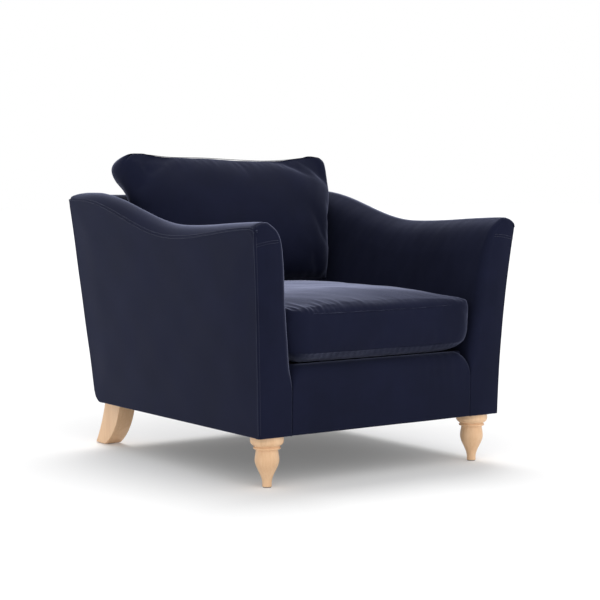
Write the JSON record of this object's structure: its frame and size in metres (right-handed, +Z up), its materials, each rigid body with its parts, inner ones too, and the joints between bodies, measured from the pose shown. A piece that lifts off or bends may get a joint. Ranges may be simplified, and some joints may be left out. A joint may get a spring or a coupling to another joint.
{
  "type": "upholstered armchair",
  "caption": "Upholstered armchair with flared swoop arms, loose boxed seat cushion, loose back cushion, turned front legs and sabre back legs.",
  "frame": {"origin": "bottom centre of the bounding box, on the floor between the legs", "axes": "+Z up, +Y towards the outside back, the sitter faces -Y, +X to the sitter's left"},
  "size_m": [0.9038, 0.9944, 0.8773],
  "materials": {
    "board": "upholsterer's board",
    "deck_cloth": "plain woven",
    "dust_cloth": "spun black cloth",
    "fibre": "fibre wadding",
    "foam": "open cell",
    "frame_timber": "planed hardwood",
    "hessian": "woven",
    "leg_timber": "pale oiled beech",
    "nylon": "moulded",
    "spring_steel": "oil tempered",
    "velvet": "navy cotton velvet",
    "webbing": "elastic webbing",
    "zinc_steel": "zinc plated",
    "zip_metal": "antique",
    "zip_tape": "woven tape and coil"
  },
  "bodies": {
    "chair": {"arm_back_post_left": "frame_timber", "arm_back_post_right": "frame_timber", "arm_bolt_nuts": "zinc_steel", "arm_bolts": "zinc_steel", "arm_bottom_rail_left": "frame_timber", "arm_bottom_rail_right": "frame_timber", "arm_cover_left": "velvet", "arm_cover_right": "velvet", "arm_front_cap_left": "velvet", "arm_front_cap_right": "velvet", "arm_front_panel_left": "velvet", "arm_front_panel_right": "velvet", "arm_front_post_left": "frame_timber", "arm_front_post_right": "frame_timber", "arm_inner_board_left": "board", "arm_inner_board_right": "board", "arm_strut_left": "frame_timber", "arm_strut_right": "frame_timber", "arm_top_rail_left": "frame_timber", "arm_top_rail_right": "frame_timber", "back_leg_left": "leg_timber", "back_leg_right": "leg_timber", "back_rail": "frame_timber", "back_top_border": "velvet", "back_top_rail": "frame_timber", "back_tuck_rail": "frame_timber", "back_upright_left": "frame_timber", "back_upright_right": "frame_timber", "back_webbing": "webbing", "corner_blocks": "frame_timber", "deck_cloth": "deck_cloth", "deck_foam": "foam", "dust_cover": "dust_cloth", "foot_glides": "nylon", "front_leg_left": "leg_timber", "front_leg_right": "leg_timber", "front_rail": "frame_timber", "front_rail_cover": "velvet", "inside_back_pad": "velvet", "leg_bolts": "zinc_steel", "leg_t_nuts": "zinc_steel", "outside_arm_panel_left": "velvet", "outside_arm_panel_right": "velvet", "outside_back_panel": "velvet", "seat_side_rail_left": "frame_timber", "seat_side_rail_right": "frame_timber", "seat_springs": "spring_steel", "spring_clips": "zinc_steel", "spring_cover": "hessian"},
    "seat_cushion": {"seat_cushion_cover": "velvet", "seat_cushion_wrap": "fibre", "seat_cushion_core": "foam", "seat_cushion_zip": "zip_tape"},
    "back_cushion": {"back_cushion_cover": "velvet", "back_cushion_fill": "fibre", "back_cushion_zip": "zip_tape"},
    "seat_slider": {"seat_zip_slider": "zip_metal"},
    "back_slider": {"back_zip_slider": "zip_metal"}
  },
  "joints": [
    {"name": "seat_cushion_slide", "type": "slide", "parent": "chair", "child": "seat_cushion", "axis": [0, -1, 0], "range_m": [0, 0.8]},
    {"name": "back_cushion_lift", "type": "slide", "parent": "chair", "child": "back_cushion", "axis": [0, 0.238, 0.9713], "range_m": [0, 0.32]},
    {"name": "seat_zip_slide", "type": "slide", "parent": "seat_cushion", "child": "seat_slider", "axis": [1, 0, 0], "range_m": [-0.21, 0.21]},
    {"name": "back_zip_slide", "type": "slide", "parent": "back_cushion", "child": "back_slider", "axis": [1, 0, 0], "range_m": [-0.22, 0.22]}
  ]
}
